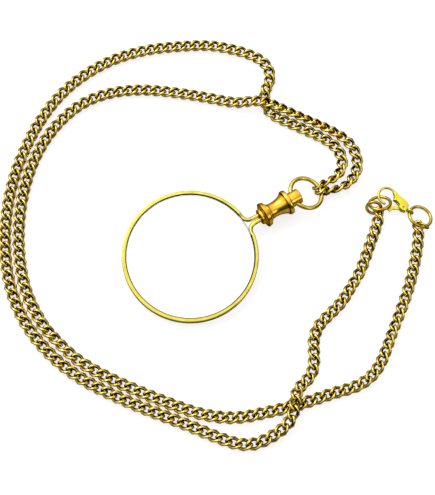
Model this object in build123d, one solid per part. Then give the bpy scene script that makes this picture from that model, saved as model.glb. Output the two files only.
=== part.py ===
from build123d import *
import math
import os

os.makedirs("parts", exist_ok=True)

# All lengths are millimetres and all angles degrees. The glass lies on a level table, z = 0.
# The overrun lets a cutting tool stand past the face that it cuts.
overrun = 1.0

# Rim wire: a band with a groove inside, its two ends drawn out into round tails
rim_radius = 20.0
rim_wall = 1.3
rim_height = 1.94
rim_rounding = 0.3
groove_depth = 0.4
groove_opening = 1.2
tail_wire = 1.25
tail_spacing = 1.5
tail_leave_angle = 8.5
taper_angle = 3.0
neck_length = 3.8

# Lens
lens_play = 0.04
lens_edge = 1.0
lens_middle = 2.2

# Handle: ferrule, spool and eye, turned about one axis
lip_radius = 2.4
lip_length = 0.7
cove_length = 0.6
flange_radius = 3.88
lower_flange_length = 1.2
lower_flange_taper = 0.28
flange_rounding = 0.14
barrel_bore = 3.2
neck_radius = 2.45
neck_groove_length = 0.1
bead_radius = 2.75
bead_length = 0.6
waist_end_radius = 2.45
waist_radius = 2.27
waist_lead = 1.75
waist_length = 5.3
flare_radius = 3.3
collar_groove_length = 0.3
collar_groove_depth = 0.35
upper_flange_length = 1.15
shoulder_length = 0.45
shoulder_radius = 2.35
stub_radius = 2.3
stub_length = 3.45
stub_rounding = 0.35
shank_radius = 1.1
shank_length = 2.9
shank_play = 0.05
cross_hole = 2.25
cross_hole_setback = 1.9

# Posts that hold the tails inside the handle
post_depth = 1.0
post_length = 6.0
post_play = 0.05
post_split = 0.2

# Bail ring through the eye
bail_radius = 5.05
bail_wire = 1.27

# Chain link: an oval wire whose two ends are twisted against each other
link_wire = 0.96
link_half_length = 2.15
link_half_width = 1.4
link_twist = -57.0
link_pitch = 2.875
strand_end_gap = 1.15
tangent_step = 0.4
samples_per_run = 24
links_per_stretch = 16

# Rings at the ends of the chain
hook_ring_radius = 3.14
hook_ring_wire = 0.95
end_ring_radius = 2.15
end_ring_wire = 0.95
tail_ring_radius = 3.5
tail_ring_wire = 0.95
joining_ring_radius = 1.6
joining_ring_wire = 0.62

# Clasp: a hook that a sprung trigger closes
hook_radius = 2.65
hook_wire = 0.75
hook_start_angle = 66.0
hook_end_angle = 286.0
clasp_thickness = 2.0
clasp_length = 8.27
clasp_eye_radius = 1.05
clasp_eye_wire = 0.6
slot_width = 0.9
slot_length = 3.25
slot_ceiling = 0.95
trigger_thickness = 0.56
lever_half_height = 0.58
pivot_x = 6.0
pivot_y = -0.35
pivot_boss = 0.65
pin_radius = 0.3
pin_play = 0.03
spring_leaf = 0.14
spring_width = 0.6
spring_reach = 1.56

# Edges of the clasp seen from above, as x and y: the body from the hook's throat round
# the tail to the hook's crown, then the trigger's tongue, its thumb lug and its arm
body_edge = [
    (3.03, 0.24),
    (4.7, -0.24),
    (4.7, -1.0),
    (6.0, -1.33),
    (7.22, -1.0),
    (7.22, 1.0),
    (6.0, 1.85),
    (3.03, 2.12),
]
thumb_edge = [
    (3.73, -2.7),
    (3.43, -3.82),
    (2.23, -3.67),
    (1.48, -2.92),
    (1.48, -2.58),
    (2.98, -1.95),
]

# Where the pieces lie on the table
glass_x = -10.33
glass_y = -2.56
glass_turn = 29.0
hook_ring_place = (47.56, 14.17, 2.27)
hook_ring_lean = 34.3
hook_ring_way = -70.0
end_ring_place = (45.53, 12.65, 2.41)
end_ring_lean = 61.0
end_ring_way = 74.9
tail_ring_place = (59.9, 10.22, 1.43)
tail_ring_lean = 14.5
tail_ring_way = -129.4
joining_ring_place = (60.49, 7.13, 1.89)
joining_ring_lean = 100.7
joining_ring_way = 61.6
clasp_place = (50.09, 16.76, 1.65)
clasp_turn = -36.94

# The two strands of the chain, from the bail to the clasp's rings.
# Each point is x, y, z and the roll of the links about their own line.
left_strand = [
    (29.5, 19.91, 1.89, -99),
    (31.86, 21.21, 1.88, -73),
    (34.28, 22.58, 1.9, -61),
    (36.21, 24.78, 1.75, -42),
    (37.16, 27.46, 1.68, -27),
    (36.68, 30.74, 1.42, -13),
    (35.55, 32.93, 1.26, -5),
    (33.4, 34.95, 1.14, -1),
    (30.08, 36.88, 1.26, 1),
    (24.82, 39.45, 1.11, 0),
    (19.35, 42.1, 1.11, 0),
    (16.25, 43.79, 1.11, 0),
    (14.48, 46.07, 1.11, 0),
    (13.82, 49.16, 1.11, 0),
    (14.19, 52.12, 1.11, 0),
    (15.8, 55.1, 1.11, 0),
    (16.1, 58.1, 1.11, 0),
    (15.1, 61.2, 1.11, 0),
    (12.6, 63.5, 1.11, 0),
    (8.7, 65.3, 1.11, 0),
    (4.0, 66.6, 1.11, 0),
    (-2.7, 67.9, 1.11, 0),
    (-11.9, 67.3, 1.11, 0),
    (-21.6, 66.1, 1.11, 0),
    (-31.3, 63.1, 1.11, 0),
    (-39.7, 58.5, 1.11, 0),
    (-47.5, 51.9, 1.11, 0),
    (-53.7, 43.6, 1.11, 0),
    (-58.7, 33.6, 1.11, 0),
    (-62.32, 22.6, 1.11, 0),
    (-64.1, 11.5, 1.11, 0),
    (-64.2, 0.3, 1.11, 0),
    (-62.62, -10.51, 1.11, 0),
    (-58.66, -20.81, 1.11, 0),
    (-51.94, -30.0, 1.11, 0),
    (-43.05, -37.63, 1.11, 0),
    (-32.71, -43.05, 1.11, 0),
    (-22.23, -47.65, 1.11, 0),
    (-13.32, -51.03, 1.11, 0),
    (-5.0, -54.7, 1.11, 0),
    (1.6, -57.2, 1.11, 0),
    (6.6, -57.4, 1.11, 0),
    (11.5, -55.3, 1.29, 0),
    (15.29, -52.8, 2.09, 0),
    (17.49, -49.8, 2.83, 4),
    (18.05, -46.56, 3.35, 0),
    (18.62, -43.64, 2.93, -6),
    (20.29, -41.06, 1.87, -4),
    (22.8, -39.1, 1.25, 0),
    (24.6, -35.9, 1.11, 0),
    (24.8, -31.5, 1.11, 0),
    (24.9, -27.1, 1.11, 0),
    (26.8, -23.1, 1.22, -8),
    (30.5, -19.8, 1.2, -1),
    (33.68, -16.79, 1.38, -11),
    (36.08, -13.32, 1.54, -25),
    (37.8, -10.7, 1.66, -35),
    (39.5, -8.2, 1.54, -25),
    (41.5, -4.1, 1.26, -5),
    (43.8, 1.6, 1.39, 20),
    (46.1, 7.0, 1.54, 4),
    (46.93, 10.25, 1.99, -1),
    (47.12, 12.22, 1.29, 50),
]
right_strand = [
    (30.25, 17.92, 1.96, -96),
    (32.81, 18.5, 1.93, -89),
    (35.9, 19.3, 1.88, -68),
    (38.9, 21.3, 1.76, -48),
    (41.2, 24.5, 1.52, -22),
    (42.0, 28.4, 1.24, -6),
    (41.16, 32.47, 1.28, 6),
    (38.06, 36.18, 1.76, 24),
    (32.08, 39.59, 2.04, 36),
    (26.08, 42.35, 2.06, 36),
    (21.4, 44.48, 2.27, 34),
    (17.65, 46.04, 2.82, 26),
    (13.94, 47.19, 3.41, 15),
    (10.11, 47.57, 3.15, 6),
    (6.5, 47.5, 1.84, 0),
    (3.4, 47.9, 1.14, 0),
    (-4.7, 49.6, 1.11, 0),
    (-14.9, 51.2, 1.11, 0),
    (-24.8, 52.0, 1.11, 0),
    (-34.4, 50.7, 1.11, 0),
    (-42.9, 47.0, 1.11, 0),
    (-50.3, 39.7, 1.11, 0),
    (-55.69, 30.7, 1.11, 0),
    (-58.98, 20.3, 1.11, 0),
    (-60.4, 9.3, 1.11, 0),
    (-60.1, -2.1, 1.11, 0),
    (-57.74, -13.46, 1.11, 0),
    (-52.6, -23.1, 1.25, -9),
    (-49.46, -26.5, 1.61, -27),
    (-46.37, -29.7, 1.61, -27),
    (-42.61, -33.14, 1.3, -8),
    (-35.47, -37.45, 1.11, 0),
    (-26.58, -41.61, 1.11, 0),
    (-16.77, -45.72, 1.11, 0),
    (-7.39, -49.05, 1.11, 0),
    (1.9, -50.1, 1.11, 0),
    (10.65, -48.38, 1.11, 0),
    (19.85, -46.41, 1.11, 0),
    (29.6, -43.2, 1.11, 0),
    (36.7, -41.5, 1.11, 0),
    (41.18, -38.64, 1.24, -8),
    (44.0, -35.0, 1.42, -19),
    (45.81, -31.23, 1.63, -34),
    (47.71, -26.88, 1.8, -48),
    (49.9, -22.1, 1.77, -44),
    (52.2, -17.2, 1.52, -24),
    (54.5, -11.9, 1.24, -4),
    (56.6, -5.6, 1.12, 0),
    (58.3, 0.7, 1.13, -3),
    (59.07, 5.88, 1.3, 11),
    (59.01, 7.92, 0.98, 10),
]

# Derived sizes and stations along the handle's axis, measured from the rim's centre
rim_half = rim_height / 2
rim_inner = rim_radius - rim_wall
rim_line = rim_radius - rim_wall / 2
mouth = rim_radius + neck_length
flange_start = mouth + lip_length + cove_length
spool_start = flange_start + lower_flange_length
bead_start = spool_start + neck_groove_length
waist_start = bead_start + bead_length
waist_middle = waist_start + waist_lead
waist_end = waist_start + waist_length
upper_flange_start = waist_end + collar_groove_length
upper_flange_end = upper_flange_start + upper_flange_length
stub_start = upper_flange_end + shoulder_length
stub_end = stub_start + stub_length
hole_place = stub_end - cross_hole_setback
bore_radius = barrel_bore / 2
post_start = mouth + post_depth
post_end = post_start + post_length

# The glass lies on the far side of its rim and on its lower flange
rest_tilt = math.degrees(math.atan((flange_radius - rim_half) / (flange_start + rim_radius)))
tilt_sine = math.sin(math.radians(rest_tilt))
tilt_cosine = math.cos(math.radians(rest_tilt))
glass_height = rim_radius * tilt_sine + rim_half * tilt_cosine
glass_frame = Pos(glass_x, glass_y, glass_height) * Rot(0, 0, glass_turn) * Rot(0, -rest_tilt, 0)

# The bail droops until its far side lies at the middle of a link that stands on edge
bail_sagitta = bail_radius - math.sqrt(bail_radius**2 - stub_radius**2)
bail_offset = bail_radius - bail_sagitta / 2
hole_height = glass_height + hole_place * tilt_sine
bight_height = link_half_width + link_wire / 2
bail_drop = math.degrees(math.asin((hole_height - bight_height) / (bail_offset + bail_radius)))
bail_frame = glass_frame * Pos(hole_place, 0, 0) * Rot(0, rest_tilt + bail_drop, 0)
clasp_frame = Pos(*clasp_place) * Rot(0, 0, clasp_turn)


def turned(face):
    return revolve(face, axis=Axis.X, revolution_arc=360)


def radial_plane(angle):
    across = (math.cos(math.radians(angle)), math.sin(math.radians(angle)), 0)
    along = (across[1], -across[0], 0)
    return Plane(origin=(0, 0, 0), x_dir=across, z_dir=along)


def ring(radius, wire, place, lean, way):
    return Pos(*place) * Rot(0, 0, way) * Rot(0, -lean, 0) * Torus(radius, wire / 2)


# Rim wire
def rim_tail(side):
    leave = math.radians(tail_leave_angle)
    drop = rim_line * math.sin(leave) - tail_spacing / 2
    bend = drop / (1 - math.sin(leave))
    centre = Vector(math.cos(leave), math.sin(leave), 0) * (rim_line + bend)
    section = radial_plane(tail_leave_angle) * Pos(rim_line, 0) * Circle(tail_wire / 2)
    curve = revolve(section, axis=Axis(centre, (0, 0, 1)), revolution_arc=90 - tail_leave_angle)
    run_end = Plane(origin=(centre.X, tail_spacing / 2, 0), z_dir=(1, 0, 0))
    straight = extrude(run_end * Circle(tail_wire / 2), amount=post_start - centre.X)
    tail = curve + straight
    start = radial_plane(tail_leave_angle + taper_angle) * Pos(rim_line, 0)
    wide = start * RectangleRounded(rim_wall, rim_height, rim_rounding)
    tail = tail + loft([wide, section])
    if side < 0:
        tail = tail.mirror(Plane.XZ)
    return tail


def make_rim():
    start_angle = tail_leave_angle + taper_angle
    section = radial_plane(start_angle) * Pos(rim_line, 0)
    section = section * RectangleRounded(rim_wall, rim_height, rim_rounding)
    band = revolve(section, axis=Axis.Z, revolution_arc=360 - 2 * start_angle)
    groove = Plane.XZ * make_face(Polyline(
        (rim_inner - overrun, groove_opening / 2),
        (rim_inner, groove_opening / 2),
        (rim_inner + groove_depth, 0),
        (rim_inner, -groove_opening / 2),
        (rim_inner - overrun, -groove_opening / 2),
        close=True,
    ))
    return band + rim_tail(1) + rim_tail(-1) - revolve(groove, axis=Axis.Z, revolution_arc=360)


# Lens: shallow domes on both sides and a bevel that sits in the groove
def make_lens():
    edge_radius = rim_inner - lens_play
    tip_radius = rim_inner + groove_depth - lens_play
    rise = (lens_middle - lens_edge) / 2
    dome = (edge_radius**2 + rise**2) / (2 * rise)
    middle = edge_radius / 2
    middle_height = lens_middle / 2 - (dome - math.sqrt(dome**2 - middle**2))
    top = ThreePointArc((0, lens_middle / 2), (middle, middle_height), (edge_radius, lens_edge / 2))
    bottom = ThreePointArc((0, -lens_middle / 2), (middle, -middle_height), (edge_radius, -lens_edge / 2))
    bevel = Polyline((edge_radius, lens_edge / 2), (tip_radius, 0), (edge_radius, -lens_edge / 2))
    axis_line = Line((0, -lens_middle / 2), (0, lens_middle / 2))
    face = Plane.XZ * make_face([top, bevel, bottom, axis_line])
    return revolve(face, axis=Axis.Z, revolution_arc=360)


# Handle
def make_ferrule():
    face = make_face(Polyline(
        (mouth, bore_radius),
        (mouth, lip_radius),
        (mouth + lip_length, lip_radius),
        (flange_start, flange_radius),
        (spool_start, flange_radius - lower_flange_taper),
        (spool_start, bore_radius),
        close=True,
    ))
    outer = [v for v in face.vertices() if v.Y > bore_radius + flange_rounding]
    return turned(fillet(outer, flange_rounding))


def make_spool():
    front = Polyline(
        (spool_start, bore_radius),
        (spool_start, neck_radius),
        (bead_start, neck_radius),
        (bead_start, bead_radius - flange_rounding),
    )
    bead = ThreePointArc(
        (bead_start, bead_radius - flange_rounding),
        (bead_start + bead_length / 2, bead_radius),
        (waist_start, bead_radius - flange_rounding),
    )
    step = Line((waist_start, bead_radius - flange_rounding), (waist_start, waist_end_radius))
    waist = ThreePointArc(
        (waist_start, waist_end_radius),
        (waist_middle, waist_radius),
        (waist_end, flare_radius),
    )
    collar = Polyline(
        (waist_end, flare_radius),
        (waist_end, flare_radius - collar_groove_depth),
        (upper_flange_start, flare_radius - collar_groove_depth),
        (upper_flange_start, flange_radius - flange_rounding),
    )
    flange = ThreePointArc(
        (upper_flange_start, flange_radius - flange_rounding),
        (upper_flange_start + upper_flange_length / 2, flange_radius),
        (upper_flange_end, flange_radius - flange_rounding),
    )
    back = Polyline(
        (upper_flange_end, flange_radius - flange_rounding),
        (upper_flange_end, shoulder_radius + flange_rounding),
        (stub_start, shoulder_radius),
        (stub_start, shank_radius + shank_play),
        (stub_start - shank_length - shank_play, shank_radius + shank_play),
        (stub_start - shank_length - shank_play, 0),
        (post_end + post_play, 0),
        (post_end + post_play, bore_radius),
        (spool_start, bore_radius),
    )
    return turned(make_face([front, bead, step, waist, collar, flange, back]))


def make_eye():
    face = make_face(Polyline(
        (stub_start - shank_length, 0),
        (stub_start - shank_length, shank_radius),
        (stub_start, shank_radius),
        (stub_start, stub_radius),
        (stub_end, stub_radius),
        (stub_end, 0),
        close=True,
    ))
    tip = [v for v in face.vertices() if v.X > hole_place and v.Y > shank_radius]
    eye = turned(fillet(tip, stub_rounding))
    hole = Pos(hole_place, 0, 0) * Rot(90, 0, 0) * Cylinder(cross_hole / 2, 2 * stub_radius + overrun)
    return eye - hole


def make_post(side):
    rod_radius = bore_radius - post_play
    rod = Plane(origin=(post_start, 0, 0), z_dir=(1, 0, 0)) * Circle(rod_radius)
    rod = extrude(rod, amount=post_length)
    keep = Pos((post_start + post_end) / 2, side * (rod_radius + post_split / 2), 0)
    keep = keep * Box(post_length + overrun, 2 * rod_radius, 2 * rod_radius + overrun)
    return rod & keep


# Chain link of eight circular arcs, each tangent to the next
def arc_end(start, tangent, end):
    chord = end - start
    inward = (chord - tangent * chord.dot(tangent)).normalized()
    radius = chord.dot(chord) / (2 * chord.dot(inward))
    angle = 2 * math.degrees(math.atan2(chord.dot(inward), chord.dot(tangent)))
    return start + inward * radius, tangent.cross(inward), angle


def bent_wire(start, tangent, end):
    centre, way, angle = arc_end(start, tangent, end)
    section = Plane(origin=start, z_dir=tangent) * Circle(link_wire / 2)
    return revolve(section, axis=Axis(centre, way), revolution_arc=angle)


def quarter_link(start, start_tangent, end, end_tangent):
    # Two arcs that meet where both tangents agree
    gap = end - start
    both = start_tangent + end_tangent
    square = 2 * (1 - start_tangent.dot(end_tangent))
    half = gap.dot(both)
    reach = (math.sqrt(half**2 + square * gap.dot(gap)) - half) / square
    joint = (start + start_tangent * reach + end - end_tangent * reach) / 2
    first = bent_wire(start, start_tangent, joint)
    joint_tangent = (end - end_tangent * reach - start - start_tangent * reach).normalized()
    second = bent_wire(joint, joint_tangent, end)
    return [first, second]


def make_link():
    twist = math.radians(link_twist)
    tip = Vector(link_half_length, 0, 0)
    flank = Vector(0, link_half_width, 0)
    tip_way = Vector(0, math.cos(twist), math.sin(twist))
    back_tip_way = Vector(0, -math.cos(twist), math.sin(twist))
    flank_way = Vector(-link_half_length, 0, -link_half_width * twist).normalized()
    back_flank_way = Vector(link_half_length, 0, -link_half_width * twist).normalized()
    pieces = quarter_link(tip, tip_way, flank, flank_way)
    pieces += quarter_link(flank, flank_way, -tip, back_tip_way)
    pieces += quarter_link(-tip, back_tip_way, -flank, back_flank_way)
    pieces += quarter_link(-flank, back_flank_way, tip, tip_way)
    return pieces[0].fuse(*pieces[1:])


def spline_point(before, control, after, share):
    keep = 1 - share
    rows = zip(before, control, after)
    return [keep * keep * a + 2 * keep * share * b + share * share * c for a, b, c in rows]


def halfway(first, second):
    return [(a + b) / 2 for a, b in zip(first, second)]


def strand_samples(route):
    samples = []
    last = len(route) - 2
    for index in range(1, len(route) - 1):
        before = route[0] if index == 1 else halfway(route[index - 1], route[index])
        after = route[-1] if index == last else halfway(route[index], route[index + 1])
        for step in range(samples_per_run):
            samples.append(spline_point(before, route[index], after, step / samples_per_run))
    samples.append(list(route[-1]))
    return samples


def sample_at(samples, travelled, distance):
    distance = min(max(distance, 0), travelled[-1])
    index = 1
    while index < len(samples) - 1 and travelled[index] < distance:
        index += 1
    share = (distance - travelled[index - 1]) / (travelled[index] - travelled[index - 1])
    return [a + (b - a) * share for a, b in zip(samples[index - 1], samples[index])]


def link_places(route):
    samples = strand_samples(route)
    travelled = [0.0]
    for first, second in zip(samples, samples[1:]):
        travelled.append(travelled[-1] + math.dist(first[:3], second[:3]))
    usable = travelled[-1] - strand_end_gap
    count = round(usable / link_pitch)
    places = []
    for index in range(count + 1):
        distance = usable * index / count
        here = sample_at(samples, travelled, distance)
        ahead = Vector(*sample_at(samples, travelled, distance + tangent_step)[:3])
        behind = Vector(*sample_at(samples, travelled, distance - tangent_step)[:3])
        along = (ahead - behind).normalized()
        side = Vector(0, 0, 1).cross(along).normalized()
        up = along.cross(side)
        roll = math.radians(here[3])
        rolled = side * math.cos(roll) + up * math.sin(roll)
        places.append(Plane(origin=here[:3], x_dir=along, z_dir=along.cross(rolled)).location)
    return places


# Clasp, drawn flat with its hook round the origin and its tail along +X
def clasp_outline():
    inner = hook_radius - hook_wire / 2
    outer = hook_radius + hook_wire / 2
    first = math.radians(hook_start_angle)
    middle = math.radians(hook_start_angle / 2)
    start_in = (inner * math.cos(first), inner * math.sin(first))
    start_out = (outer * math.cos(first), outer * math.sin(first))
    arc = ThreePointArc(start_in, (inner * math.cos(middle), inner * math.sin(middle)), (inner, 0))
    edge = Polyline((inner, 0), *body_edge, start_out)
    return make_face([arc, edge, Line(start_out, start_in)])


def make_clasp_body():
    plate = extrude(clasp_outline(), amount=clasp_thickness / 2, both=True)
    side = make_face(Polyline(
        (0, hook_wire / 2),
        (hook_radius + hook_wire, clasp_thickness / 2),
        (clasp_length, clasp_thickness / 2),
        (clasp_length, -clasp_thickness / 2),
        (hook_radius + hook_wire, -clasp_thickness / 2),
        (0, -hook_wire / 2),
        close=True,
    ))
    wedge = extrude(Plane.XZ * side, amount=clasp_length, both=True)
    slot = Pos(pivot_x - pivot_boss, slot_ceiling - clasp_length / 2, 0)
    slot = slot * Box(slot_length, clasp_length, slot_width)
    pin_hole = Pos(pivot_x, pivot_y, 0) * Cylinder(pin_radius + pin_play, clasp_thickness + overrun)
    body = (plate & wedge) - slot - pin_hole
    section = radial_plane(hook_start_angle) * Pos(hook_radius, 0) * Circle(hook_wire / 2)
    hook = revolve(section, axis=Axis.Z, revolution_arc=hook_end_angle - hook_start_angle)
    last = math.radians(hook_end_angle)
    nose = Pos(hook_radius * math.cos(last), hook_radius * math.sin(last), 0) * Sphere(hook_wire / 2)
    eye = Pos(clasp_length, 0, 0) * Rot(90, 0, 0) * Torus(clasp_eye_radius, clasp_eye_wire / 2)
    return body + hook + nose + eye


def make_trigger():
    lever = make_face(Polyline(
        *thumb_edge,
        (pivot_x, pivot_y + lever_half_height),
        (pivot_x, pivot_y - lever_half_height),
        close=True,
    ))
    outline = lever + Pos(pivot_x, pivot_y) * Circle(pivot_boss)
    plate = extrude(outline, amount=trigger_thickness / 2, both=True)
    hole = Pos(pivot_x, pivot_y, 0) * Cylinder(pin_radius + pin_play, clasp_thickness)
    return plate - hole


def make_spring():
    seat = slot_ceiling - spring_leaf
    leaf = make_face(Polyline(
        (pivot_x + pivot_boss, seat),
        (pivot_x - pivot_boss, seat),
        (pivot_x - spring_reach, seat - 2 * spring_leaf),
        (pivot_x - spring_reach, seat - 3 * spring_leaf),
        (pivot_x - pivot_boss, seat - spring_leaf),
        (pivot_x + pivot_boss, seat - spring_leaf),
        close=True,
    ))
    return extrude(leaf, amount=spring_width / 2, both=True)


glass_parts = {
    "rim_wire": make_rim(),
    "lens": make_lens(),
    "tail_post_upper": make_post(1),
    "tail_post_lower": make_post(-1),
    "handle_ferrule": make_ferrule(),
    "handle_spool": make_spool(),
    "handle_eye": make_eye(),
}
parts = {name: glass_frame * shape for name, shape in glass_parts.items()}
parts["bail_ring"] = bail_frame * Pos(bail_offset, 0, 0) * Torus(bail_radius, bail_wire / 2)

link = make_link()
for strand_name, route in (("left", left_strand), ("right", right_strand)):
    places = link_places(route)
    for first in range(0, len(places), links_per_stretch):
        stretch = [link.moved(place) for place in places[first:first + links_per_stretch]]
        number = first // links_per_stretch + 1
        parts[f"chain_{strand_name}_{number}"] = Compound(children=stretch)

parts["hook_ring"] = ring(
    hook_ring_radius, hook_ring_wire, hook_ring_place, hook_ring_lean, hook_ring_way)
parts["end_ring"] = ring(end_ring_radius, end_ring_wire, end_ring_place, end_ring_lean, end_ring_way)
parts["tail_ring"] = ring(
    tail_ring_radius, tail_ring_wire, tail_ring_place, tail_ring_lean, tail_ring_way)
parts["joining_ring"] = ring(
    joining_ring_radius, joining_ring_wire, joining_ring_place, joining_ring_lean, joining_ring_way)
pin = Pos(pivot_x, pivot_y, 0) * Cylinder(pin_radius, clasp_thickness)
parts["clasp_body"] = clasp_frame * make_clasp_body()
parts["clasp_trigger"] = clasp_frame * make_trigger()
parts["clasp_pin"] = clasp_frame * pin
parts["clasp_spring"] = clasp_frame * make_spring()

for name, shape in parts.items():
    export_step(shape, f"parts/{name}.step")
    print(name, len(shape.solids()), "solid(s)", round(shape.volume, 3), "mm3")
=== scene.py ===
import bpy
import math
from mathutils import Matrix, Vector


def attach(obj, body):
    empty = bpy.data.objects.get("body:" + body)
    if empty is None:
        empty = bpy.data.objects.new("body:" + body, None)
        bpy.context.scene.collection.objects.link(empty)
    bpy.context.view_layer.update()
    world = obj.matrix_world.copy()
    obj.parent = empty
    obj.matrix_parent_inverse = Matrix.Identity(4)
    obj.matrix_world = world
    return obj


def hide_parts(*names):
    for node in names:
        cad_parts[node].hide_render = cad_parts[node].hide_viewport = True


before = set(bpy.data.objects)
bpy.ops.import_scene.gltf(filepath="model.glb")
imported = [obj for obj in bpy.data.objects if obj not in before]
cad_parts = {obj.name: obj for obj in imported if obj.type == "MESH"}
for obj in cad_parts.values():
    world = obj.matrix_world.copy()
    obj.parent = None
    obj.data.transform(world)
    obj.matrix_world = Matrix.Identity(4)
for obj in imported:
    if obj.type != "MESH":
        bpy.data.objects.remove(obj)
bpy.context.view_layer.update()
scene = bpy.context.scene
scene.view_settings.view_transform = "Standard"
print("frame loaded", len(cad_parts), "nodes")


# Small helpers that every piece uses
def toLinear(code):
    # An sRGB hex colour as the linear one that the nodes take
    parts = [int(code[start:start + 2], 16) / 255 for start in (1, 3, 5)]
    return [part / 12.92 if part <= 0.04045 else ((part + 0.055) / 1.055) ** 2.4 for part in parts] + [1.0]


def addNode(tree, kind, settings=None, **links):
    # A link is named for the input it goes to, or in0, in1 and so on by its number
    node = tree.nodes.new(kind)
    for name, value in (settings or {}).items():
        if isinstance(name, int) or name in node.inputs.keys():
            node.inputs[name].default_value = value
        else:
            setattr(node, name, value)
    for name, socket in links.items():
        key = int(name[2:]) if name.startswith("in") and name[2:].isdigit() else name.replace("_", " ")
        tree.links.new(socket, node.inputs[key])
    return node


def newMaterial(name):
    material = bpy.data.materials.new(name)
    material.use_nodes = True
    material.node_tree.nodes.clear()
    return material, material.node_tree


def deselectAll():
    if bpy.context.object and bpy.context.object.mode != "OBJECT":
        bpy.ops.object.mode_set(mode="OBJECT")
    bpy.ops.object.select_all(action="DESELECT")


def makeActive(obj):
    deselectAll()
    obj.select_set(True)
    bpy.context.view_layer.objects.active = obj


# Camera at the photograph's place, above the table and a little in front of it
cameraView = {
    "look": (-0.09, -0.313, 0.9455),  # from the table towards the eye
    "distance": 0.2966,
    "aim": (-0.00207, 0.00079, 0.0),
    "focalPixels": 1000.0,
    "imageWidth": 435,
    "sensor": 36.0,
    "nearest": 0.005,
}


def addCamera(values):
    out = Vector(values["look"]).normalized()
    right = (Vector((1, 0, 0)) - out * out.x).normalized()
    up = out.cross(right)
    data = bpy.data.cameras.new("photoCamera")
    data.sensor_fit = "HORIZONTAL"
    data.sensor_width = values["sensor"]
    data.lens = values["sensor"] * values["focalPixels"] / values["imageWidth"]
    data.clip_start = values["nearest"]
    camera = bpy.data.objects.new("photoCamera", data)
    scene.collection.objects.link(camera)
    place = Matrix((right, up, out)).transposed().to_4x4()
    place.translation = Vector(values["aim"]) + out * values["distance"]
    camera.matrix_world = place
    scene.camera = camera


addCamera(cameraView)
print("camera placed")

# Materials: one gilding, seen cleaner or more worn from piece to piece
giltBrass = {
    "gold": "#FCE060",
    "deepGold": "#EAB62A",
    "edge": "#6A4010",
    "roughness": 0.17,
    "blotchSize": 0.0035,  # uneven plating, patches of a few millimetres
    "blotchDetail": 3.0,
    "blotchFrom": 0.4,
    "blotchTo": 0.7,
    "blotchMost": 0.8,
    "scratchSize": 0.00025,  # fine handling scratches, drawn coarser than they are
    "scratchDetail": 2.0,
    "scratchDepth": 0.00002,
    "scratchStrength": 0.08,
}
# Chain, with painted shade in dark brown on the inner sides and undersides of its links, where they shade
# one another
chainBrass = dict(
    giltBrass, gold="#FFE568", deepGold="#F0C03A", edge="#B07818", recess="#220A00", roughness=0.13)
# Rings of plain wire, the most worn
ringBrass = dict(giltBrass, gold="#E8CA42", deepGold="#AE8414", edge="#5A3208", roughness=0.15)
# Rim of drawn wire, paler and duller, with painted shade darkening its inner side, where the groove is
rimBrass = dict(giltBrass, gold="#F4E666", deepGold="#DCC43E", recess="#1A0E00", roughness=0.24)
rimBrass["middle"] = (-0.01033, -0.00256, 0)
rimBrass["stops"] = (  # distance from the middle, and how much painted shade darkens the brass there, from 0 to 1
    (0.0180, 1.0), (0.0189, 1.0), (0.0191, 0.0), (0.0200, 0.0))
# Handle, turned and warmer, with painted shade in its turned grooves
handleBrass = dict(
    giltBrass, gold="#FFDC54", deepGold="#F4A01A", edge="#C87008", recess="#4A2000", roughness=0.2)
handleBrass["middle"] = (-0.01033, -0.00256, 0.002256)
handleBrass["along"] = (0.8729, 0.4838, 0.0644)
handleBrass["stops"] = (  # the turned grooves, darkened with painted shade, from the rim's end to the eye
    (0.0230, 1.0), (0.0236, 0.4), (0.0242, 0.0), (0.0248, 0.1), (0.0250, 0.8), (0.0252, 0.0), (0.0262, 0.0),
    (0.0264, 0.9), (0.0266, 0.0), (0.0270, 0.0), (0.0272, 0.8), (0.0275, 0.1), (0.0284, 0.0), (0.0320, 0.0),
    (0.0324, 0.7), (0.0327, 0.0), (0.0337, 0.0), (0.0340, 0.7), (0.0342, 0.1), (0.0350, 0.0), (0.0378, 0.0))
# Clasp, cast and tumbled, with a satin yellow surface
claspBrass = dict(giltBrass, gold="#FAEE50", deepGold="#E0BC28", edge="#6A4404", roughness=0.2)


def addStops(tree, place, values):
    # How much painted shade darkens a spot, by its distance from a middle, or along a line from it
    offset = addNode(tree, "ShaderNodeVectorMath", {
        "operation": "SUBTRACT", 1: values["middle"]}, in0=place)
    if "along" in values:
        reach = addNode(tree, "ShaderNodeVectorMath", {
            "operation": "DOT_PRODUCT", 1: values["along"]}, in0=offset.outputs[0])
    else:
        flat = addNode(tree, "ShaderNodeVectorMath", {
            "operation": "MULTIPLY", 1: (1, 1, 0)}, in0=offset.outputs[0])
        reach = addNode(tree, "ShaderNodeVectorMath", {"operation": "LENGTH"}, in0=flat.outputs[0])
    start, end = values["stops"][0][0], values["stops"][-1][0]
    share = addNode(tree, "ShaderNodeMapRange", {
        "From Min": start, "From Max": end}, Value=reach.outputs["Value"])
    ramp = addNode(tree, "ShaderNodeValToRGB", {}, Fac=share.outputs["Result"])
    steps = ramp.color_ramp.elements
    while len(steps) > 1:
        steps.remove(steps[-1])
    for index, (distance, dark) in enumerate(values["stops"]):
        spot = (distance - start) / (end - start)
        step = steps[0] if index == 0 else steps.new(spot)
        step.position = spot
        step.color = (dark, dark, dark, 1)
    return ramp.outputs["Color"]


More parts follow.
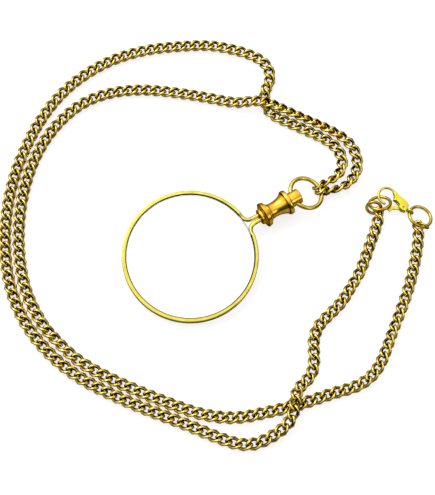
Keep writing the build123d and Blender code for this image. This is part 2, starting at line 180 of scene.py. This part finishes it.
def makeGilt(name, values, recessName=None):
    # Gold plate on brass, polished: warm reflections, faint unevenness, and painted shade in dark brown
    # where hollows and grooves fall in shade
    material, tree = newMaterial(name)
    place = addNode(tree, "ShaderNodeTexCoord")
    blotch = addNode(tree, "ShaderNodeTexNoise", {
        "Scale": 1 / values["blotchSize"],
        "Detail": values["blotchDetail"]}, Vector=place.outputs["Object"])
    mix = addNode(tree, "ShaderNodeMix", {"data_type": "RGBA"})
    mix.inputs[6].default_value = toLinear(values["gold"])
    mix.inputs[7].default_value = toLinear(values["deepGold"])
    amount = addNode(tree, "ShaderNodeMapRange", {
        "From Min": values["blotchFrom"], "From Max": values["blotchTo"],
        "To Min": 0.0, "To Max": values["blotchMost"]}, Value=blotch.outputs["Fac"])
    tree.links.new(amount.outputs["Result"], mix.inputs[0])
    colour = mix.outputs[2]
    darkness = None
    # Painted shade: a mask from the mesh's attribute, or from distance stops, mixes the gold toward a dark
    # brown
    if recessName:
        stain = addNode(tree, "ShaderNodeAttribute", {"attribute_name": recessName})
        darkness = stain.outputs["Fac"]
    elif "stops" in values:
        darkness = addStops(tree, place.outputs["Object"], values)
    if darkness:
        dark = addNode(tree, "ShaderNodeMix", {"data_type": "RGBA"}, in0=darkness, in6=colour)
        dark.inputs[7].default_value = toLinear(values["recess"])
        colour = dark.outputs[2]
    scratch = addNode(tree, "ShaderNodeTexNoise", {
        "Scale": 1 / values["scratchSize"],
        "Detail": values["scratchDetail"]}, Vector=place.outputs["Object"])
    bump = addNode(tree, "ShaderNodeBump", {
        "Strength": values["scratchStrength"],
        "Distance": values["scratchDepth"]}, Height=scratch.outputs["Fac"])
    shader = addNode(tree, "ShaderNodeBsdfPrincipled", {
        "Metallic": 1.0, "Roughness": values["roughness"],
        "Specular Tint": toLinear(values["edge"])}, Base_Color=colour, Normal=bump.outputs["Normal"])
    addNode(tree, "ShaderNodeOutputMaterial", {}, Surface=shader.outputs["BSDF"])
    return material


lensGlass = {"tint": "#F7FAFA", "roughness": 0.0, "ior": 1.52}


def makeGlass(name, values):
    # Ground and polished crown glass: clear, a faint grey at the edge
    material, tree = newMaterial(name)
    shader = addNode(tree, "ShaderNodeBsdfPrincipled", {
        "Base Color": toLinear(values["tint"]), "Roughness": values["roughness"],
        "IOR": values["ior"], "Transmission Weight": 1.0})
    addNode(tree, "ShaderNodeOutputMaterial", {}, Surface=shader.outputs["BSDF"])
    return material


springSteel = {"steel": "#9A9A98", "roughness": 0.35}


def makeSteel(name, values):
    # Drawn spring steel: grey, slightly dull
    material, tree = newMaterial(name)
    shader = addNode(tree, "ShaderNodeBsdfPrincipled", {
        "Base Color": toLinear(values["steel"]), "Metallic": 1.0, "Roughness": values["roughness"]})
    addNode(tree, "ShaderNodeOutputMaterial", {}, Surface=shader.outputs["BSDF"])
    return material


polishedGilt = makeGilt("polishedGilt", giltBrass)
chainGilt = makeGilt("chainGilt", chainBrass, "recess")
rimGilt = makeGilt("rimGilt", rimBrass)
handleGilt = makeGilt("handleGilt", handleBrass)
claspGilt = makeGilt("claspGilt", claspBrass)
ringGilt = makeGilt("ringGilt", ringBrass)
clearLens = makeGlass("crownGlass", lensGlass)
steel = makeSteel("drawnSteel", springSteel)
print("materials made")

finishes = {
    "rim_wire": rimGilt, "tail_post_upper": rimGilt, "tail_post_lower": rimGilt,
    "handle_ferrule": handleGilt, "handle_spool": handleGilt, "handle_eye": handleGilt,
    "lens": clearLens, "clasp_pin": steel, "clasp_spring": steel,
    "clasp_body": claspGilt, "clasp_trigger": claspGilt,
    "hook_ring": ringGilt, "end_ring": ringGilt, "tail_ring": ringGilt, "joining_ring": ringGilt,
}
for nodeName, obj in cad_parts.items():
    for slot in obj.material_slots:
        slot.material = finishes.get(nodeName, polishedGilt)

# Clasp: its castings come out of the tumbling drum with their corners rounded
casting = {
    "bodyRound": 0.0003,
    "triggerRound": 0.00015,
    "roundSteps": 3,
    "roundFrom": 35,  # degrees, so that only real corners are rounded
    "smoothTo": 55,
    "mergeWithin": 0.000002,
    "flatWithin": 3,  # degrees
}


def roundedCopy(nodeName, width, body, values):
    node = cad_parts[nodeName]
    copy = bpy.data.objects.new(nodeName + "Cast", node.data.copy())
    copy.matrix_world = node.matrix_world
    scene.collection.objects.link(copy)
    makeActive(copy)
    bpy.ops.object.mode_set(mode="EDIT")
    bpy.ops.mesh.select_all(action="SELECT")
    bpy.ops.mesh.remove_doubles(threshold=values["mergeWithin"])
    bpy.ops.mesh.dissolve_limited(angle_limit=math.radians(values["flatWithin"]))
    bpy.ops.object.mode_set(mode="OBJECT")
    edge = copy.modifiers.new("edge", "BEVEL")
    edge.width = width
    edge.segments = values["roundSteps"]
    edge.limit_method = "ANGLE"
    edge.angle_limit = math.radians(values["roundFrom"])
    bpy.ops.object.modifier_apply(modifier=edge.name)
    bpy.ops.object.shade_smooth_by_angle(angle=math.radians(values["smoothTo"]))
    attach(copy, body)
    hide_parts(nodeName)
    print(copy.name, len(copy.data.polygons), "faces")
    return copy


claspCast = roundedCopy("clasp_body", casting["bodyRound"], "clasp", casting)
triggerCast = roundedCopy("clasp_trigger", casting["triggerRound"], "trigger", casting)

# Chain: two strands of curb links, from the bail to the rings at the clasp
chain = {
    "wire": 0.0011,  # a shade fuller than the links of the solid, which have to hang clear
    "halfLength": 0.0021,
    "halfWidth": 0.00135,
    "ovalSteps": 3,
    "wireSteps": 1,
    "twist": -57.0,  # degrees, from the middle of a link to its end
    "flat": 0.00098,  # pressed faces, top and bottom
    "endInward": 0.4,  # how much a link's round ends count as its inner side, for the painted shade
    "underside": 0.2,  # and how much its underside does
    # where the painted shade starts, and over how much it darkens fully
    "stainFrom": 0.05,
    "stainOver": 0.35,
    "pitch": 0.002875,
    "lead": 0.0004,  # how far before and after a link its direction is read
    "endGap": 0.00115,  # the last link stops short of the line's end
    "lineSteps": 16,
    "rollScale": 1000,  # the rolls are smoothed as a line too, at about its size
    "stretches": 8,  # the solids that one strand stands for
    "leftLength": 0.3642,
    "rightLength": 0.3409,
    "width": 0.0038,
}
# The first link of a strand is slimmer, so that it swings clear on the bail
bailLink = dict(chain, wire=0.00096, halfLength=0.00215, halfWidth=0.0014)

# A strand's middle line, and the roll of its links in degrees at each point
leftRoute = [
    (0.0295, 0.01991, 0.00189, -99),
    (0.03186, 0.02121, 0.00188, -73),
    (0.03428, 0.02258, 0.0019, -61),
    (0.03621, 0.02478, 0.00175, -42),
    (0.03716, 0.02746, 0.00168, -27),
    (0.03668, 0.03074, 0.00142, -13),
    (0.03555, 0.03293, 0.00126, -5),
    (0.0334, 0.03495, 0.00114, -1),
    (0.03008, 0.03688, 0.00126, 1),
    (0.02482, 0.03945, 0.00111, 0),
    (0.01935, 0.0421, 0.00111, 0),
    (0.01625, 0.04379, 0.00111, 0),
    (0.01448, 0.04607, 0.00111, 0),
    (0.01382, 0.04916, 0.00111, 0),
    (0.01419, 0.05212, 0.00111, 0),
    (0.0158, 0.0551, 0.00111, 0),
    (0.0161, 0.0581, 0.00111, 0),
    (0.0151, 0.0612, 0.00111, 0),
    (0.0126, 0.0635, 0.00111, 0),
    (0.0087, 0.0653, 0.00111, 0),
    (0.004, 0.0666, 0.00111, 0),
    (-0.0027, 0.0679, 0.00111, 0),
    (-0.0119, 0.0673, 0.00111, 0),
    (-0.0216, 0.0661, 0.00111, 0),
    (-0.0313, 0.0631, 0.00111, 0),
    (-0.0397, 0.0585, 0.00111, 0),
    (-0.0475, 0.0519, 0.00111, 0),
    (-0.0537, 0.0436, 0.00111, 0),
    (-0.0587, 0.0336, 0.00111, 0),
    (-0.06232, 0.0226, 0.00111, 0),
    (-0.0641, 0.0115, 0.00111, 0),
    (-0.0642, 0.0003, 0.00111, 0),
    (-0.06262, -0.01051, 0.00111, 0),
    (-0.05866, -0.02081, 0.00111, 0),
    (-0.05194, -0.03, 0.00111, 0),
    (-0.04305, -0.03763, 0.00111, 0),
    (-0.03271, -0.04305, 0.00111, 0),
    (-0.02223, -0.04765, 0.00111, 0),
    (-0.01332, -0.05103, 0.00111, 0),
    (-0.005, -0.0547, 0.00111, 0),
    (0.0016, -0.0572, 0.00111, 0),
    (0.0066, -0.0574, 0.00111, 0),
    (0.0115, -0.0553, 0.00129, 0),
    (0.01529, -0.0528, 0.00209, 0),
    (0.01749, -0.0498, 0.00283, 4),
    (0.01805, -0.04656, 0.00335, 0),
    (0.01862, -0.04364, 0.00293, -6),
    (0.02029, -0.04106, 0.00187, -4),
    (0.0228, -0.0391, 0.00125, 0),
    (0.0246, -0.0359, 0.00111, 0),
    (0.0248, -0.0315, 0.00111, 0),
    (0.0249, -0.0271, 0.00111, 0),
    (0.0268, -0.0231, 0.00122, -8),
    (0.0305, -0.0198, 0.0012, -1),
    (0.03368, -0.01679, 0.00138, -11),
    (0.03608, -0.01332, 0.00154, -25),
    (0.0378, -0.0107, 0.00166, -35),
    (0.0395, -0.0082, 0.00154, -25),
    (0.0415, -0.0041, 0.00126, -5),
    (0.0438, 0.0016, 0.00139, 20),
    (0.0461, 0.007, 0.00154, 4),
    (0.04693, 0.01025, 0.00199, -1),
    (0.04712, 0.01222, 0.00129, 50),
]
rightRoute = [
    (0.03025, 0.01792, 0.00196, -96),
    (0.03281, 0.0185, 0.00193, -89),
    (0.0359, 0.0193, 0.00188, -68),
    (0.0389, 0.0213, 0.00176, -48),
    (0.0412, 0.0245, 0.00152, -22),
    (0.042, 0.0284, 0.00124, -6),
    (0.04116, 0.03247, 0.00128, 6),
    (0.03806, 0.03618, 0.00176, 24),
    (0.03208, 0.03959, 0.00204, 36),
    (0.02608, 0.04235, 0.00206, 36),
    (0.0214, 0.04448, 0.00227, 34),
    (0.01765, 0.04604, 0.00282, 26),
    (0.01394, 0.04719, 0.00341, 15),
    (0.01011, 0.04757, 0.00315, 6),
    (0.0065, 0.0475, 0.00184, 0),
    (0.0034, 0.0479, 0.00114, 0),
    (-0.0047, 0.0496, 0.00111, 0),
    (-0.0149, 0.0512, 0.00111, 0),
    (-0.0248, 0.052, 0.00111, 0),
    (-0.0344, 0.0507, 0.00111, 0),
    (-0.0429, 0.047, 0.00111, 0),
    (-0.0503, 0.0397, 0.00111, 0),
    (-0.05569, 0.0307, 0.00111, 0),
    (-0.05898, 0.0203, 0.00111, 0),
    (-0.0604, 0.0093, 0.00111, 0),
    (-0.0601, -0.0021, 0.00111, 0),
    (-0.05774, -0.01346, 0.00111, 0),
    (-0.0526, -0.0231, 0.00125, -9),
    (-0.04946, -0.0265, 0.00161, -27),
    (-0.04637, -0.0297, 0.00161, -27),
    (-0.04261, -0.03314, 0.0013, -8),
    (-0.03547, -0.03745, 0.00111, 0),
    (-0.02658, -0.04161, 0.00111, 0),
    (-0.01677, -0.04572, 0.00111, 0),
    (-0.00739, -0.04905, 0.00111, 0),
    (0.0019, -0.0501, 0.00111, 0),
    (0.01065, -0.04838, 0.00111, 0),
    (0.01985, -0.04641, 0.00111, 0),
    (0.0296, -0.0432, 0.00111, 0),
    (0.0367, -0.0415, 0.00111, 0),
    (0.04118, -0.03864, 0.00124, -8),
    (0.044, -0.035, 0.00142, -19),
    (0.04581, -0.03123, 0.00163, -34),
    (0.04771, -0.02688, 0.0018, -48),
    (0.0499, -0.0221, 0.00177, -44),
    (0.0522, -0.0172, 0.00152, -24),
    (0.0545, -0.0119, 0.00124, -4),
    (0.0566, -0.0056, 0.00112, 0),
    (0.0583, 0.0007, 0.00113, -3),
    (0.05907, 0.00588, 0.0013, 11),
    (0.05901, 0.00792, 0.00098, 10),
]


def nurbsPoints(rows, steps):
    # The smooth line that a NURBS spline draws through a route
    curve = bpy.data.curves.new("route", "CURVE")
    curve.dimensions = "3D"
    curve.resolution_u = steps
    spline = curve.splines.new("NURBS")
    spline.points.add(len(rows) - 1)
    for point, row in zip(spline.points, rows):
        point.co = (row[0], row[1], row[2], 1.0)
    spline.order_u = 3
    spline.use_endpoint_u = True
    guide = bpy.data.objects.new("route", curve)
    mesh = bpy.data.meshes.new_from_object(guide)
    points = [vertex.co.copy() for vertex in mesh.vertices]
    bpy.data.objects.remove(guide)
    return points


def makeLinkMesh(values):
    # An oval of wire, twisted along its length, its inner sides and underside marked for painted shade
    deselectAll()
    bpy.ops.curve.primitive_bezier_circle_add(radius=1)
    oval = bpy.context.object
    oval.data.resolution_u = values["ovalSteps"]
    oval.data.bevel_depth = values["wire"] / 2
    oval.data.bevel_resolution = values["wireSteps"]
    bpy.ops.object.mode_set(mode="EDIT")
    bpy.ops.curve.select_all(action="SELECT")
    bpy.ops.transform.resize(value=(values["halfLength"], values["halfWidth"], 1))
    bpy.ops.object.mode_set(mode="OBJECT")
    bpy.ops.object.convert(target="MESH")
    oval = bpy.context.object
    turn = oval.modifiers.new("turn", "SIMPLE_DEFORM")
    turn.deform_method = "TWIST"
    turn.deform_axis = "X"
    reach = max(vertex.co.x for vertex in oval.data.vertices)
    turn.angle = 2 * math.radians(values["twist"]) * reach / values["halfLength"]
    bpy.ops.object.modifier_apply(modifier=turn.name)
    mesh = oval.data
    # Painted shade: how far each point faces into the link or downward, where neighbouring links and the
    # table shade it
    recess = mesh.attributes.new("recess", "FLOAT", "POINT")
    for index, vertex in enumerate(mesh.vertices):
        outward = Vector((vertex.co.x * values["endInward"], vertex.co.y, 0)).normalized()
        hidden = max(-vertex.normal.dot(outward), -vertex.normal.z * values["underside"])
        stain = (hidden - values["stainFrom"]) / values["stainOver"]
        recess.data[index].value = min(max(stain, 0), 1)
        vertex.co.z = min(max(vertex.co.z, -values["flat"]), values["flat"])
    for face in mesh.polygons:
        face.use_smooth = True
    print("link", len(mesh.polygons), "faces")
    bpy.data.objects.remove(oval)
    return mesh


def between(points, travelled, distance):
    # The point at a distance along a line
    distance = min(max(distance, 0), travelled[-1])
    index = 1
    while index < len(points) - 1 and travelled[index] < distance:
        index += 1
    share = (distance - travelled[index - 1]) / (travelled[index] - travelled[index - 1])
    return points[index - 1].lerp(points[index], share)


def layStrand(name, rows, linkMesh, firstMesh, values):
    # The links of a strand, one after another along its line
    points = nurbsPoints(rows, values["lineSteps"])
    rolls = nurbsPoints([(row[3] / values["rollScale"], 0, 0) for row in rows], values["lineSteps"])
    travelled = [0.0]
    for first, second in zip(points, points[1:]):
        travelled.append(travelled[-1] + (second - first).length)
    usable = travelled[-1] - values["endGap"]
    count = round(usable / values["pitch"])
    copies = []
    for index in range(count + 1):
        distance = usable * index / count
        here = between(points, travelled, distance)
        roll = math.radians(between(rolls, travelled, distance).x * values["rollScale"])
        ahead = between(points, travelled, distance + values["lead"])
        along = (ahead - between(points, travelled, distance - values["lead"])).normalized()
        side = Vector((0, 0, 1)).cross(along).normalized()
        rolled = side * math.cos(roll) + along.cross(side) * math.sin(roll)
        place = Matrix((along, rolled, along.cross(rolled))).transposed().to_4x4()
        place.translation = here
        copy = bpy.data.objects.new(name, (linkMesh if index else firstMesh).copy())
        copy.data.transform(place)
        scene.collection.objects.link(copy)
        copies.append(copy)
    deselectAll()
    for copy in copies:
        copy.select_set(True)
    bpy.context.view_layer.objects.active = copies[0]
    bpy.ops.object.join()
    strand = bpy.context.object
    strand.name = name
    strand.data.materials.append(chainGilt)
    print(name, count + 1, "links", round(travelled[-1], 4), "m")
    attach(strand, "chain")
    return strand, points


linkMesh = makeLinkMesh(chain)
firstMesh = makeLinkMesh(bailLink)
leftStrand, leftLine = layStrand("leftStrand", leftRoute, linkMesh, firstMesh, chain)
rightStrand, rightLine = layStrand("rightStrand", rightRoute, linkMesh, firstMesh, chain)
stretches = range(1, chain["stretches"] + 1)
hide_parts(*[f"chain_left_{number}" for number in stretches])
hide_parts(*[f"chain_right_{number}" for number in stretches])

# Studio: white table, two soft lamps, and a lit ceiling over dark walls for the metal to mirror
studio = {
    "table": "#A8A8A8",
    "tableSize": 3.0,
    "tableTop": -0.00003,
    "tableGlow": 0.74,
    "brightSide": (-0.35, 0.45, 0.82),  # the ceiling's middle lies behind and to the left
    "wallsEnd": 0.25,
    "ceilingStart": 0.7,
    "ceiling": 1.05,
    "horizon": 0.04,
    "keyPower": 1.5,
    "keyPlace": (-0.3, 0.35, 0.5),
    "fillPower": 0.5,
    "fillPlace": (0.45, -0.25, 0.4),
    "lampSize": 0.35,
    "white": (1, 1, 1, 1),
}


def addTable(values):
    # Matte white card, which shows as plain white and keeps the object's shadow
    deselectAll()
    bpy.ops.mesh.primitive_plane_add(size=values["tableSize"], location=(0, 0, values["tableTop"]))
    bpy.ops.object.transform_apply(location=True, rotation=True, scale=True)
    table = bpy.context.object
    table.name = "table"
    material, tree = newMaterial("matteCard")
    path = addNode(tree, "ShaderNodeLightPath")
    card = addNode(tree, "ShaderNodeBsdfDiffuse", {"Color": toLinear(values["table"])})
    glow = addNode(tree, "ShaderNodeEmission", {"Color": values["white"]})
    direct = addNode(tree, "ShaderNodeMath", {
        "operation": "MULTIPLY", 1: values["tableGlow"]}, in0=path.outputs["Is Camera Ray"])
    strength = addNode(
        tree, "ShaderNodeMath", {"operation": "ADD"},
        in0=direct.outputs[0], in1=path.outputs["Is Transmission Ray"])
    tree.links.new(strength.outputs[0], glow.inputs["Strength"])
    both = addNode(tree, "ShaderNodeAddShader", {}, in0=card.outputs[0], in1=glow.outputs[0])
    addNode(tree, "ShaderNodeOutputMaterial", {}, Surface=both.outputs[0])
    table.data.materials.append(material)


def addLamp(name, power, size, place):
    # A soft box that faces the object
    data = bpy.data.lights.new(name, "AREA")
    data.energy = power
    data.size = size
    lamp = bpy.data.objects.new(name, data)
    scene.collection.objects.link(lamp)
    lamp.location = place
    lamp.rotation_euler = Vector(place).to_track_quat("Z", "Y").to_euler()


def addWorld(values):
    world = bpy.data.worlds.new("surround")
    scene.world = world
    world.use_nodes = True
    tree = world.node_tree
    tree.nodes.clear()
    place = addNode(tree, "ShaderNodeTexCoord")
    height = addNode(tree, "ShaderNodeVectorMath", {
        "operation": "DOT_PRODUCT", 1: values["brightSide"]}, in0=place.outputs["Generated"])
    fall = addNode(tree, "ShaderNodeMapRange", {
        "From Min": values["wallsEnd"], "From Max": values["ceilingStart"],
        "To Min": values["horizon"], "To Max": values["ceiling"]}, Value=height.outputs["Value"])
    light = addNode(tree, "ShaderNodeBackground", {
        "Color": values["white"]}, Strength=fall.outputs["Result"])
    addNode(tree, "ShaderNodeOutputWorld", {}, Surface=light.outputs[0])


addTable(studio)
addLamp("key", studio["keyPower"], studio["lampSize"], studio["keyPlace"])
addLamp("fill", studio["fillPower"], studio["lampSize"], studio["fillPlace"])
addWorld(studio)
print("studio set")
